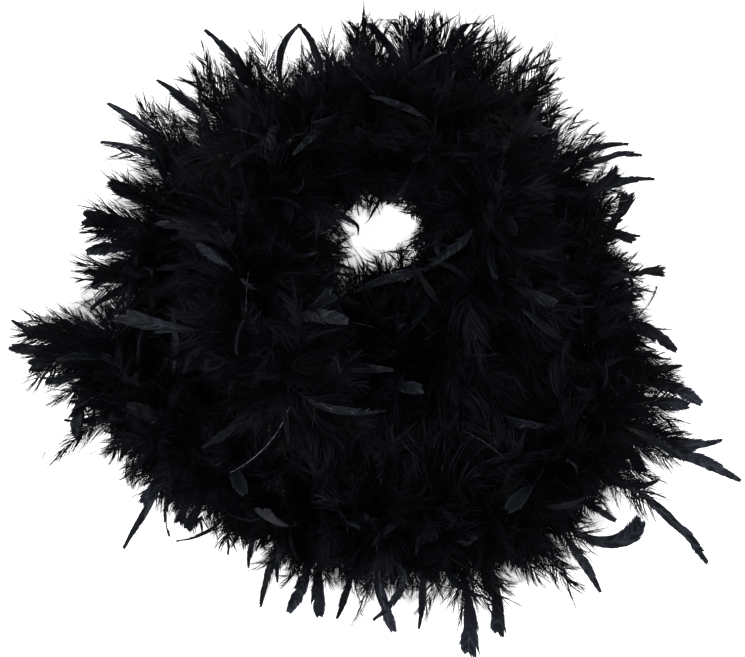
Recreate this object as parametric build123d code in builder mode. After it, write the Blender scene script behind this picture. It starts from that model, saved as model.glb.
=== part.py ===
from build123d import *
import os
from math import cos, exp, floor, hypot, pi, radians, sin, tan

# A feather boa lying loosely coiled on a flat surface, in millimetres and degrees.
# The surface is z = 0, and the origin is the middle of the coil's footprint on it.

# Driving dimensions: the whole boa
BOA_LENGTH = 1800.0
SEGMENTS = 16
TAIL_SEGMENTS = 3
HEAD_SEGMENTS = 2
SEGMENT_LENGTH = BOA_LENGTH / SEGMENTS

# The lay: one wide outer turn, then a small inner turn that climbs onto it at the back
START_ANGLE = 185.0
OUTER_CENTRE = (-0.3, 11.0)
OUTER_RADIUS = 164.0
INNER_CENTRE = (2.7, 70.0)
INNER_RADIUS = 90.0
INWARD_FROM, INWARD_TO = 480.0, 640.0
END_FLARE, END_FLARE_SPREAD = 45.0, 60.0
BULGE, BULGE_ANGLE, BULGE_SPREAD = 26.0, 329.0, 40.0
CLIMB, CLIMB_FROM, CLIMB_TO = 71.0, 645.0, 755.0
VALLEY_SHIFT, VALLEY_FROM, VALLEY_TO = 75.0, 885.0, 1010.0
VALLEY_DROP, DROP_FROM, DROP_TO = 34.0, 957.0, 992.0

# The twine and its thread
TWINE_RADIUS = 1.8
TWINE_GAP = 1.0
TWINE_RUNS_PER_SEGMENT = 6
STITCH_RADIUS = 2.3
STITCH_WIDTH = 0.8
STITCHES_PER_SEGMENT = 9
WHIPPING_RADIUS = 2.7
WHIPPING_LENGTH = 12.0
WHIPPING_INSET = 5.0
KNOT_RADIUS = 4.2

# The down, as the dense part of the plumes round the twine
DOWN_RADIUS = 32.0
DOWN_CHANNEL_RADIUS = 7.0
DOWN_OVERRUN = 5.0
CORE_HEIGHT = 30.0
JOINT_CLEARANCE = 0.25

# How far each joint opens, and the room left on its closing side
TAIL_SWING = 25.0
HEAD_LIFT = 30.0
WEDGE_MARGIN = 1.5
WEDGE_DEPTH = 2 * DOWN_RADIUS

# The flats: stiff body feathers whose quills are caught in the twine
FLATS_PER_SEGMENT = 12
FLAT_REACH = 85.0
FLAT_REACH_SPREAD = 28.0
FLAT_HALF_WIDTH = 6.5
FLAT_THICKNESS = 0.6
FLAT_BEND = 13.0
QUILL_HALF_WIDTH = 0.6
QUILL_START = 1.2
VANE_START = 30.0
GOLDEN_TURN = 137.508
FLAT_SHORTENINGS = (1.0, 0.88, 0.76, 0.64, 0.54)
STRAND_MARGIN = 3.0
FLOOR_MARGIN = 2.0
NEIGHBOUR_REACH = 110.0

# Stragglers that stand well clear of the rest: (segment, flat) and the reach of each
STRAGGLERS = {
    (1, 1): 94.0,
    (1, 9): 112.0,
    (2, 10): 108.0,
    (3, 6): 106.0,
    (4, 7): 116.0,
    (5, 8): 108.0,
    (6, 4): 112.0,
    (6, 9): 110.0,
    (7, 5): 118.0,
    (8, 6): 84.0,
    (9, 2): 112.0,
}

MARCH_STEP = 0.25
MARCH_MARGIN = 8.0
SAMPLE_STEP = 6.0
UP = Vector(0, 0, 1)


# The route


def ease(value, low, high):
    """0 below low, 1 above high, and a smooth step between them."""
    share = min(max((value - low) / (high - low), 0.0), 1.0)
    return share * share * (3 - 2 * share)


def lay_point(angle):
    """The twine's centreline at a lay angle, which grows anticlockwise from the outer end."""
    inward = ease(angle, INWARD_FROM, INWARD_TO)
    centre_x = OUTER_CENTRE[0] + (INNER_CENTRE[0] - OUTER_CENTRE[0]) * inward
    centre_y = OUTER_CENTRE[1] + (INNER_CENTRE[1] - OUTER_CENTRE[1]) * inward
    radius = OUTER_RADIUS + (INNER_RADIUS - OUTER_RADIUS) * inward
    radius += END_FLARE * max(0.0, 1 - (angle - START_ANGLE) / END_FLARE_SPREAD) ** 2
    radius += BULGE * exp(-(((angle - BULGE_ANGLE) / BULGE_SPREAD) ** 2))
    radius += VALLEY_SHIFT * ease(angle, VALLEY_FROM, VALLEY_TO)
    height = CORE_HEIGHT + CLIMB * ease(angle, CLIMB_FROM, CLIMB_TO)
    height -= VALLEY_DROP * ease(angle, DROP_FROM, DROP_TO)
    turn = radians(angle)
    return Vector(centre_x + radius * cos(turn), centre_y + radius * sin(turn), height)


def march():
    """Pairs of distance and lay angle, from just before the outer end to just past the inner."""
    angle = START_ANGLE
    pairs = [(0.0, angle)]
    while pairs[-1][0] < BOA_LENGTH + MARCH_MARGIN:
        step = (lay_point(angle + MARCH_STEP) - lay_point(angle)).length
        angle += MARCH_STEP
        pairs.append((pairs[-1][0] + step, angle))
    return pairs


MARCHED = march()


def angle_at(distance):
    """The lay angle at a distance along the twine from its outer end."""
    if distance <= 0:
        first, second = MARCHED[0], MARCHED[1]
    else:
        index = next(i for i, pair in enumerate(MARCHED) if pair[0] >= distance)
        first, second = MARCHED[index - 1], MARCHED[index]
    share = (distance - first[0]) / (second[0] - first[0])
    return first[1] + share * (second[1] - first[1])


def route_point(distance):
    return lay_point(angle_at(distance))


def route_frame(distance):
    """The twine's point at a distance, the way along it, the way out of the coil, and up."""
    along = (route_point(distance + 1) - route_point(distance - 1)).normalized()
    outward = along.cross(UP).normalized()
    return route_point(distance), along, outward, outward.cross(along)


SAMPLES = [
    (i * SAMPLE_STEP, route_point(i * SAMPLE_STEP))
    for i in range(int(BOA_LENGTH / SAMPLE_STEP) + 1)
]


def swing_at(boundary):
    """The joint at a segment boundary: how far it opens and whether it lifts, or None."""
    if 1 <= boundary <= TAIL_SEGMENTS:
        return TAIL_SWING, False
    if SEGMENTS - HEAD_SEGMENTS <= boundary < SEGMENTS:
        return HEAD_LIFT, True
    return None


def body_of(segment):
    """The name of the body that a segment, counted from 0 at the outer end, belongs to."""
    if segment < TAIL_SEGMENTS:
        return f"tail_{TAIL_SEGMENTS - segment}"
    if segment >= SEGMENTS - HEAD_SEGMENTS:
        return f"head_{segment - (SEGMENTS - HEAD_SEGMENTS) + 1}"
    return "coil"


def body_spans():
    """Each body's first and last segment."""
    spans = {}
    for segment in range(SEGMENTS):
        first, last = spans.get(body_of(segment), (segment, segment))
        spans[body_of(segment)] = (first, segment)
    return spans


# The down


def mitre_gap(boundary):
    return JOINT_CLEARANCE if swing_at(boundary) else 0.0


def wedge_plane(boundary):
    """The plane a joint bends in, with X along the twine and Y away from its closing side."""
    origin, along, outward, up = route_frame(boundary * SEGMENT_LENGTH)
    if swing_at(boundary)[1]:
        return Plane(origin=origin, x_dir=along, z_dir=outward * -1)
    return Plane(origin=origin, x_dir=Vector(along.X, along.Y, 0), z_dir=UP)


def wedge_section(boundary):
    """The section of the room that a joint's closing side needs."""
    half_width = WEDGE_DEPTH * tan(radians(swing_at(boundary)[0] / 2 + WEDGE_MARGIN))
    with BuildSketch(wedge_plane(boundary)) as section:
        with BuildLine():
            Polyline((0, 0), (half_width, -WEDGE_DEPTH), (-half_width, -WEDGE_DEPTH), close=True)
        make_face()
    return section.sketch


def build_down(segment):
    """One segment of the down: a tube round the twine, flat where it lies on the surface."""
    start, end = segment * SEGMENT_LENGTH, (segment + 1) * SEGMENT_LENGTH
    is_first, is_last = segment == 0, segment == SEGMENTS - 1
    low = start if is_first else start - DOWN_OVERRUN
    high = end if is_last else end + DOWN_OVERRUN
    middle = (low + high) / 2
    with BuildPart() as down:
        with BuildLine() as path:
            ThreePointArc(route_point(low), route_point(middle), route_point(high))
        with BuildSketch(Plane(origin=path.line @ 0, z_dir=path.line % 0)):
            Circle(DOWN_RADIUS)
            Circle(DOWN_CHANNEL_RADIUS, mode=Mode.SUBTRACT)
        sweep(path=path.line)
        if not is_first:
            origin, along, outward, up = route_frame(start)
            split(bisect_by=Plane(origin + along * mitre_gap(segment), z_dir=along))
        if not is_last:
            origin, along, outward, up = route_frame(end)
            split(bisect_by=Plane(origin - along * mitre_gap(segment + 1), z_dir=along * -1))
        split(bisect_by=Plane.XY)
        for boundary in (segment, segment + 1):
            if swing_at(boundary):
                section = wedge_section(boundary)
                extrude(section, amount=WEDGE_DEPTH, both=True, mode=Mode.SUBTRACT)
    return down


# The flats


def spread_at(number):
    """A fixed, uneven share from 0 to 1 for a numbered feather."""
    value = number * 0.6180339887
    return value - floor(value)


def flat_points(plane, reach, bend):
    """Points on a flat's outline that show whether it has room."""
    middle = (VANE_START + reach) / 2
    local = [
        (VANE_START, 0),
        (middle, FLAT_HALF_WIDTH + bend / 4),
        (middle, bend / 4 - FLAT_HALF_WIDTH),
        ((middle + reach) / 2, FLAT_HALF_WIDTH * 0.7 + bend * 0.6),
        ((middle + reach) / 2, bend * 0.6 - FLAT_HALF_WIDTH * 0.7),
        (reach, bend),
    ]
    return [plane.from_local_coords(Vector(x, y, 0)) for x, y in local]


def clear_of_strands(point, station):
    """Whether a point is nearer its own stretch of twine than any other stretch."""
    own = min((point - q).length for d, q in SAMPLES if abs(d - station) <= NEIGHBOUR_REACH)
    others = [(point - q).length for d, q in SAMPLES if abs(d - station) > NEIGHBOUR_REACH]
    return min(others) - own >= 2 * STRAND_MARGIN


def clear_of_mitres(point, segment):
    """Whether a point is on its segment's own side of both ends, with room for the joints."""
    for boundary, way in ((segment, 1), (segment + 1, -1)):
        if boundary in (0, SEGMENTS):
            continue
        origin, along, outward, up = route_frame(boundary * SEGMENT_LENGTH)
        offset = point - origin
        inside = offset.dot(along) * way
        needed = FLAT_THICKNESS + 0.4
        swing = swing_at(boundary)
        if swing:
            closing = offset.dot(up if swing[1] else outward)
            needed += max(0.0, closing) * tan(radians(swing[0] / 2 + WEDGE_MARGIN))
        if inside < needed:
            return False
    return True


def flat_has_room(plane, reach, bend, station, segment):
    return all(
        point.Z >= FLOOR_MARGIN
        and clear_of_strands(point, station)
        and clear_of_mitres(point, segment)
        for point in flat_points(plane, reach, bend)
    )


def flat_outline(plane, reach, bend):
    """One flat in its own plane: a quill strip along X and a curved, pointed vane."""
    middle = (VANE_START + reach) / 2
    with BuildSketch(plane) as outline:
        with BuildLine():
            Line((QUILL_START, QUILL_HALF_WIDTH), (QUILL_START, -QUILL_HALF_WIDTH))
            Line((QUILL_START, -QUILL_HALF_WIDTH), (VANE_START, -QUILL_HALF_WIDTH))
            ThreePointArc(
                (VANE_START, -QUILL_HALF_WIDTH),
                (middle, bend / 4 - FLAT_HALF_WIDTH),
                (reach, bend),
            )
            ThreePointArc(
                (reach, bend),
                (middle, bend / 4 + FLAT_HALF_WIDTH),
                (VANE_START, QUILL_HALF_WIDTH),
            )
            Line((VANE_START, QUILL_HALF_WIDTH), (QUILL_START, QUILL_HALF_WIDTH))
        make_face()
    return outline.sketch


def build_flats(segment):
    """A segment's flats, fanned round the twine by the golden angle, each a separate solid."""
    spacing = SEGMENT_LENGTH / FLATS_PER_SEGMENT
    with BuildPart() as flats:
        for flat in range(FLATS_PER_SEGMENT):
            number = segment * FLATS_PER_SEGMENT + flat
            station = segment * SEGMENT_LENGTH + (flat + 0.5) * spacing
            roll = radians(number * GOLDEN_TURN)
            origin, along, outward, up = route_frame(station)
            direction = outward * cos(roll) + up * sin(roll)
            plane = Plane(origin=origin, x_dir=direction, z_dir=along)
            bend = FLAT_BEND if number % 2 else -FLAT_BEND
            full = FLAT_REACH + FLAT_REACH_SPREAD * (spread_at(number) - 0.5)
            full = STRAGGLERS.get((segment + 1, flat + 1), full)
            for shortening in FLAT_SHORTENINGS:
                reach = full * shortening
                if flat_has_room(plane, reach, bend * shortening, station, segment):
                    outline = flat_outline(plane, reach, bend * shortening)
                    extrude(outline, amount=FLAT_THICKNESS / 2, both=True)
                    break
    return flats


# The twine, its thread and its ends


def twine_points(first, last):
    """The route's points for one body's stretch of twine, a little short of its joints."""
    start, end = first * SEGMENT_LENGTH, (last + 1) * SEGMENT_LENGTH
    start += TWINE_GAP if first > 0 else 0
    end -= TWINE_GAP if last < SEGMENTS - 1 else 0
    runs = (last - first + 1) * TWINE_RUNS_PER_SEGMENT
    return [route_point(start + (end - start) * i / runs) for i in range(runs + 1)]


def corner_radii(points):
    """An arc for each corner of the route, as large as the shorter of its two runs allows."""
    radii = []
    for before, corner, after in zip(points, points[1:], points[2:]):
        first_run, second_run = corner - before, after - corner
        half_turn = radians(first_run.get_angle(second_run)) / 2
        radii.append(0.45 * min(first_run.length, second_run.length) / tan(half_turn))
    return radii


def build_twine(name, first, last):
    points = twine_points(first, last)
    radii = corner_radii(points)
    with BuildPart() as twine:
        with BuildLine() as path:
            FilletPolyline(*points, radius=radii)
        with BuildSketch(Plane(origin=path.line @ 0, z_dir=path.line % 0)):
            Circle(TWINE_RADIUS)
        sweep(path=path.line)
    length = path.wires()[0].length
    expected = pi * TWINE_RADIUS**2 * length
    print(f"{name}: length {length:.1f} mm, radii {min(radii):.0f} to {max(radii):.0f} mm,")
    print(f"  volume {twine.part.volume:.0f} of {expected:.0f} mm3")
    return twine


def build_stitches(first, last):
    """The lock-stitch thread's turns round one body's stretch of twine."""
    spacing = SEGMENT_LENGTH / STITCHES_PER_SEGMENT
    with BuildPart() as stitches:
        for turn in range((last - first + 1) * STITCHES_PER_SEGMENT):
            origin, along, outward, up = route_frame(first * SEGMENT_LENGTH + (turn + 0.5) * spacing)
            with BuildSketch(Plane(origin=origin, z_dir=along)):
                Circle(STITCH_RADIUS + STITCH_WIDTH)
                Circle(STITCH_RADIUS - STITCH_WIDTH, mode=Mode.SUBTRACT)
            extrude(amount=STITCH_WIDTH / 2, both=True)
    return stitches


def build_whipping(distance):
    """A close winding of thread round the twine near an end."""
    origin, along, outward, up = route_frame(distance)
    with BuildPart() as whipping:
        with BuildSketch(Plane(origin=origin, z_dir=along)):
            Circle(WHIPPING_RADIUS + STITCH_WIDTH)
            Circle(TWINE_RADIUS - STITCH_WIDTH / 2, mode=Mode.SUBTRACT)
        extrude(amount=WHIPPING_LENGTH / 2, both=True)
    return whipping


def build_knot(distance, way):
    """The knot that closes an end of the twine, just beyond the last of the down."""
    origin, along, outward, up = route_frame(distance)
    centre = origin + along * (way * KNOT_RADIUS)
    with BuildPart() as knot:
        with Locations(centre):
            Sphere(KNOT_RADIUS)
    return knot


# Every piece to its own file


def write_piece(piece, name):
    piece.part.label = name
    export_step(piece.part, f"parts/{name}.step")


def main():
    os.makedirs("parts", exist_ok=True)
    for segment in range(SEGMENTS):
        write_piece(build_down(segment), f"down_{segment + 1:02d}")
        write_piece(build_flats(segment), f"flats_{segment + 1:02d}")
    for body, (first, last) in body_spans().items():
        write_piece(build_twine(f"core_twine_{body}", first, last), f"core_twine_{body}")
        write_piece(build_stitches(first, last), f"lock_stitches_{body}")
    write_piece(build_whipping(WHIPPING_INSET + WHIPPING_LENGTH / 2), "end_whipping_outer")
    write_piece(
        build_whipping(BOA_LENGTH - WHIPPING_INSET - WHIPPING_LENGTH / 2), "end_whipping_inner"
    )
    write_piece(build_knot(0.0, -1), "end_knot_outer")
    write_piece(build_knot(BOA_LENGTH, 1), "end_knot_inner")


main()
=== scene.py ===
import math

import bpy
import numpy as np
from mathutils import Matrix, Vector


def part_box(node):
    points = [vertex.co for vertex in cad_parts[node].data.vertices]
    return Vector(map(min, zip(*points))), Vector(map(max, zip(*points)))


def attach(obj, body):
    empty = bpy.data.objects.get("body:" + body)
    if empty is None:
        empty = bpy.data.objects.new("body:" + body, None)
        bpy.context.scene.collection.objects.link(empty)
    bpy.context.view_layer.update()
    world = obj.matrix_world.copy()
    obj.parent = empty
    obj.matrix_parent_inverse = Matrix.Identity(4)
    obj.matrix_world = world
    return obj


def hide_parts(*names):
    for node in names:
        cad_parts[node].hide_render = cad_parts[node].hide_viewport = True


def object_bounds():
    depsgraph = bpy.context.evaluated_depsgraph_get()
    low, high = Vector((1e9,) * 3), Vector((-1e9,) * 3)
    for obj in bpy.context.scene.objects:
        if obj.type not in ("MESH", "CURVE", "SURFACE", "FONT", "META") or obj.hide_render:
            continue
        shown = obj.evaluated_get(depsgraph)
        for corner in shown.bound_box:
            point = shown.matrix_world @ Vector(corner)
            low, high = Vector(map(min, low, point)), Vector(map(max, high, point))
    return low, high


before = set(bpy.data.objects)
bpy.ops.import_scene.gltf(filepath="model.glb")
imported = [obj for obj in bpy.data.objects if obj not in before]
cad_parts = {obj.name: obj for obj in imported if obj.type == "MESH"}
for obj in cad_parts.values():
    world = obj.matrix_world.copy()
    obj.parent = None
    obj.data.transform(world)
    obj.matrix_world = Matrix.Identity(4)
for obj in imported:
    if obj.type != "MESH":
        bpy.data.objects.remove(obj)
cad_low, cad_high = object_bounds()

MM = 0.001

# The lay of the boa, as in the CAD model, in millimetres and degrees
BOA_LENGTH = 1800.0
SEGMENTS = 16
TAIL_SEGMENTS = 3
HEAD_SEGMENTS = 2
SEGMENT_LENGTH = BOA_LENGTH / SEGMENTS
START_ANGLE = 185.0
OUTER_CENTRE = (-0.3, 11.0)
OUTER_RADIUS = 164.0
INNER_CENTRE = (2.7, 70.0)
INNER_RADIUS = 90.0
INWARD_FROM, INWARD_TO = 480.0, 640.0
END_FLARE, END_FLARE_SPREAD = 45.0, 60.0
BULGE, BULGE_ANGLE, BULGE_SPREAD = 26.0, 329.0, 40.0
CORE_HEIGHT = 30.0
CLIMB, CLIMB_FROM, CLIMB_TO = 71.0, 645.0, 755.0
VALLEY_SHIFT, VALLEY_FROM, VALLEY_TO = 75.0, 885.0, 1010.0
VALLEY_DROP, DROP_FROM, DROP_TO = 34.0, 957.0, 992.0
MARCH_STEP = 0.25
MARCH_MARGIN = 8.0

# The twine
TWINE_DIAMETER = 3.6
TWINE_GAP = 1.0
TWINE_RUNS_PER_SEGMENT = 6
TWINE_STEP = 1.2
TWINE_PITCH = 9.0
PLY_FULLNESS = 1.04
STITCH_STEP = 0.9
STITCH_COIL_RADIUS = 2.2
STITCH_PITCH = 6.2
STITCH_THREAD_RADIUS = 0.35

# The whippings and the knots at the ends
WHIPPING_INSET = 11.0
WHIPPING_HALF_LENGTH = 6.0
WHIPPING_COIL_RADIUS = 2.55
WHIPPING_PITCH = 0.95
WHIPPING_THREAD_RADIUS = 0.48
WHIPPING_POINTS = 300
KNOT_SIZE = 0.95
KNOT_CORD_RADIUS = 1.0
KNOT_POINTS = 90

# The feathers
PLUMES_PER_SEGMENT = 104
INNER_PLUMES_PER_SEGMENT = 44
LOW_PLUMES_PER_SEGMENT = 58
FLATS_PER_SEGMENT = 15
QUILLS_PER_SEGMENT = 7
SEED = 4127
BEND_GROWTH = 1.8

# How full each segment's plumes stand, from the outer end to the inner
FULLNESS = (
    1.0, 0.84, 0.98, 0.97, 0.86, 0.84, 1.06, 0.93, 1.12, 1.08, 1.06, 1.04, 1.10, 1.10, 1.12, 1.06,
)

# The opening left in the middle of the coil: its foot, its lean per unit of height, its radii,
# and how many radii out the feathers are still bent away from it
OPENING_FOOT = (12.0, 93.0)
OPENING_LEAN = (0.0, -0.25)
OPENING_RADII = (20.0, 17.0)
OPENING_REACH = 1.6

# Extra plumes that fill out one side: station, heading, rise, shaft length and how many
TUFTS = (
    (818, 92, 24, 90, 9), (785, 80, 22, 102, 10), (770, 73, 18, 98, 8), (752, 66, 14, 98, 8),
    (722, 57, 6, 90, 5), (702, 50, 8, 80, 6), (664, 40, 8, 78, 6), (640, 32, 8, 74, 5),
    (890, 117, 16, 88, 7), (922, 130, 12, 96, 8), (955, 142, 10, 96, 8),
    (978, 154, 8, 82, 5), (1000, 166, 10, 90, 9), (1028, 180, 8, 92, 8), (1050, 195, 6, 80, 3),
    (2, 160, 8, 50, 3), (2, 180, 4, 74, 9), (6, 194, 2, 70, 6),
    (502, 350, 2, 66, 5), (480, 341, 2, 80, 7), (458, 328, 0, 80, 4),
    (370, 296, 0, 76, 5), (335, 282, 0, 80, 5), (232, 258, 2, 60, 4),
    (275, 80, 10, 68, 9), (300, 92, 14, 70, 10), (325, 97, 4, 72, 10), (355, 106, 12, 72, 10),
    (385, 118, 4, 74, 10), (415, 132, 12, 74, 10), (440, 144, 4, 72, 9), (465, 155, 12, 68, 8),
    (1175, 266, 8, 68, 8), (1200, 275, 14, 70, 9), (1220, 281, 2, 74, 9), (1245, 290, 12, 74, 10),
    (1268, 300, 2, 76, 9), (1290, 312, 8, 74, 9), (1312, 322, 4, 74, 7), (1790, 300, 14, 60, 8),
    (1795, 330, 6, 58, 6), (1190, 76, 28, 72, 6), (1220, 90, 28, 78, 8), (1250, 106, 26, 76, 8),
    (1600, 322, -6, 64, 5), (1632, 339, -8, 66, 7), (1662, 355, -8, 68, 8), (1692, 10, -6, 76, 7),
    (1400, 202, -10, 60, 6), (1375, 186, -8, 60, 6),
)

# Level mats of down between the outer turn and the inner one, given in the same way
MATS = (
    (250, 74, 2, 66, 6), (275, 82, 3, 72, 7), (300, 90, 2, 74, 8), (325, 98, 3, 76, 8),
    (350, 106, 2, 78, 8), (375, 114, 3, 78, 8), (400, 124, 2, 78, 8), (425, 136, 3, 76, 8),
    (450, 148, 2, 74, 7), (475, 160, 3, 70, 6), (1165, 262, 2, 72, 7), (1190, 270, 3, 74, 8),
    (1215, 279, 2, 76, 8), (1240, 288, 3, 78, 8), (1265, 299, 2, 78, 8), (1290, 311, 2, 78, 8),
    (1312, 322, 0, 78, 7), (1335, 334, -4, 80, 6),
)

# Single feathers that stand out: kind, station, heading, rise, length, curl, sweep, twist, tone; on a
# quill the tone also sets how strong its painted highlights are
STANDOUTS = (
    ("sickle", 792, 84, 20, 118, -0.3, 1.4, 0.3, 0.60),
    ("sickle", 768, 84, 15, 128, -0.2, -0.9, 0.2, 0.70),
    ("quill", 776, 76, 18, 118, -0.1, 0.3, 0.0, 0.40),
    ("plume", 722, 60, 6, 108, -0.1, -0.2, 0.3, 0.40),
    ("quill", 717, 57, 5, 128, 0.0, 0.05, 0.0, 0.50),
    ("sickle", 668, 47, 8, 104, -0.2, -0.9, 0.4, 0.55),
    ("sickle", 660, 44, 6, 108, -0.1, -0.9, -0.5, 0.65),
    ("sickle", 642, 38, 6, 102, 0.0, -0.8, 0.6, 0.55),
    ("broad", 624, 20, 8, 66, -0.2, -1.0, 0.2, 0.50),
    ("sickle", 614, 24, 2, 68, 0.0, -0.6, 0.5, 0.50),
    ("sickle", 598, 20, 14, 64, -0.3, -2.0, 0.3, 0.65),
    ("broad", 558, 344, 20, 82, -0.5, -0.5, 0.1, 0.45),
    ("sickle", 548, 8, 6, 60, 0.0, -0.7, 0.7, 0.60),
    ("sickle", 525, 4, 4, 60, 0.0, -0.5, 0.3, 0.50),
    ("broad", 507, 356, 4, 94, -0.1, -0.6, 0.8, 1.05),
    ("broad", 496, 345, 3, 82, -0.1, 0.2, 0.2, 0.80),
    ("sickle", 478, 328, 3, 118, 0.0, 0.9, 0.6, 0.80),
    ("sickle", 466, 344, 2, 138, 0.0, -0.25, 0.5, 0.80),
    ("sickle", 447, 326, 1, 148, 0.0, -0.4, -0.5, 0.80),
    ("broad", 414, 285, 4, 118, -0.1, 2.5, 0.2, 0.65),
    ("sickle", 396, 308, 2, 104, 0.0, -0.2, 0.3, 0.65),
    ("plume", 378, 300, 0, 86, 0.0, 0.3, 0.3, 0.50),
    ("broad", 334, 280, 2, 110, 0.0, -0.25, 0.3, 0.95),
    ("broad", 352, 286, 2, 100, 0.0, -0.35, -0.4, 0.75),
    ("sickle", 304, 276, 0, 86, 0.0, -0.3, 0.2, 0.45),
    ("broad", 274, 266, 0, 88, 0.0, 0.5, 0.8, 1.05),
    ("sickle", 296, 272, 0, 88, 0.0, -1.1, 0.3, 0.85),
    ("broad", 226, 258, 2, 84, 0.0, -0.3, 0.2, 0.60),
    ("broad", 232, 257, 2, 82, 0.0, 0.4, 0.4, 0.70),
    ("sickle", 182, 244, 0, 64, 0.0, 0.5, 0.3, 0.45),
    ("sickle", 206, 244, 4, 66, 0.0, 0.6, 0.2, 0.45),
    ("broad", 128, 236, 0, 60, 0.0, 0.3, 0.3, 0.45),
    ("broad", 104, 226, 2, 66, 0.0, 0.4, 0.2, 0.95),
    ("sickle", 108, 232, 0, 104, 0.0, 0.25, 0.0, 0.45),
    ("plume", 52, 211, 2, 88, 0.0, 0.2, 0.4, 0.35),
    ("quill", 50, 211, 1, 110, 0.0, 0.05, 0.0, 0.40),
    ("broad", 30, 196, 6, 84, -0.2, 1.9, 0.1, 0.80),
    ("broad", 12, 206, 4, 68, 0.0, -0.2, 0.3, 0.70),
    ("broad", 2, 190, 4, 88, -0.1, -0.4, 0.4, 0.75),
    ("sickle", 3, 180, 6, 92, -0.1, -0.6, 0.3, 0.60),
    ("broad", 2, 156, 10, 78, -0.2, 1.0, -0.3, 0.90),
    ("broad", 1000, 182, 10, 96, -0.1, 0.3, 0.2, 0.60),
    ("broad", 980, 168, 8, 90, -0.1, -0.4, 0.2, 0.55),
    ("sickle", 1020, 196, 8, 98, -0.1, 0.5, 0.2, 0.50),
    ("quill", 1040, 188, 8, 108, 0.0, 0.1, 0.0, 0.40),
    ("broad", 1030, 160, 16, 96, -0.3, 1.5, 0.2, 0.60),
    ("broad", 1001, 164, 12, 98, -0.2, 0.3, 0.1, 0.45),
    ("sickle", 958, 135, 8, 128, -0.1, 0.3, 0.3, 1.00),
    ("sickle", 964, 139, 8, 116, -0.1, 0.7, 0.5, 0.65),
    ("sickle", 930, 124, 11, 112, -0.1, 0.5, 0.4, 0.50),
    ("sickle", 893, 113, 14, 126, -0.2, 0.5, 0.3, 0.65),
    ("quill", 868, 108, 18, 102, 0.0, -0.1, 0.0, 0.35),
    ("sickle", 872, 124, 22, 114, -0.3, -1.6, 0.3, 0.60),
    ("sickle", 1772, 292, 38, 124, -0.6, 2.2, 0.2, 0.60),
    ("broad", 1712, 138, 52, 62, -0.8, 0.3, 0.4, 0.90),
    ("broad", 1745, 190, 24, 110, -0.7, -0.8, 0.2, 0.62),
    ("broad", 1760, 30, 40, 70, -0.8, 0.3, 0.2, 0.50),
    ("broad", 10, 186, 10, 76, -0.3, 0.2, 0.1, 0.60),
    ("sickle", 120, 150, 34, 80, -0.8, 0.3, 0.1, 0.65),
    ("broad", 640, 200, 40, 60, -0.8, 0.3, 0.1, 0.55),
    ("broad", 560, 200, 30, 90, -0.6, 0.6, 0.1, 0.50),
    ("broad", 1748, 18, 50, 84, -0.9, -0.9, 0.1, 0.55),
    ("broad", 1655, 205, 45, 88, -0.8, -0.8, 0.2, 0.60),
    ("sickle", 1520, 200, 50, 92, -0.9, 0.9, 0.2, 0.60),
    ("sickle", 1440, 140, 50, 96, -0.9, 0.8, 0.3, 0.55),
    ("sickle", 1390, 250, 48, 96, -0.8, -0.9, 0.3, 0.60),
    ("broad", 1345, 300, 48, 84, -0.8, 1.0, 0.2, 0.50),
    ("sickle", 1345, 190, 22, 110, -0.5, 0.3, 0.2, 0.40),
    ("sickle", 70, 60, 50, 92, -1.0, 1.2, 0.2, 0.70),
    ("broad", 55, 35, 52, 86, -0.9, -1.0, 0.3, 0.60),
    ("quill", 1240, 22, 40, 92, -0.6, 0.3, 0.0, 1.00),
    ("quill", 1796, 262, 30, 98, -0.5, -1.2, 0.0, 1.00),
    ("quill", 1690, 268, 55, 70, -0.6, 0.1, 0.0, 0.95),
    ("quill", 1722, 300, 50, 74, -0.6, 0.1, 0.0, 0.90),
    ("quill", 1478, 280, 62, 60, -0.5, 0.0, 0.0, 1.00),
    ("quill", 395, 130, 50, 80, -0.7, 0.6, 0.0, 0.90),
    ("swirl", 215, 70, 50, 96, -0.9, 1.8, 0.2, 0.80),
    ("swirl", 262, 300, 48, 92, -0.8, -1.8, 0.2, 0.85),
    ("swirl", 318, 60, 48, 96, -0.8, -1.6, 0.2, 0.80),
    ("swirl", 372, 80, 46, 92, -0.8, 1.6, 0.2, 0.75),
    ("swirl", 150, 20, 50, 92, -0.9, 1.7, 0.2, 0.85),
    ("swirl", 455, 120, 48, 90, -0.9, -1.5, 0.3, 0.70),
    ("swirl", 560, 150, 46, 92, -0.8, 1.4, 0.3, 0.70),
    ("swirl", 1150, 250, 50, 92, -0.8, 1.6, 0.2, 0.70),
    ("swirl", 1335, 240, 46, 90, -0.8, 1.5, 0.2, 0.70),
    ("swirl", 1600, 170, 46, 90, -0.8, 1.4, 0.2, 0.70),
)


# The route


def ease(value, low, high):
    share = np.clip((value - low) / (high - low), 0.0, 1.0)
    return share * share * (3 - 2 * share)


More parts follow.
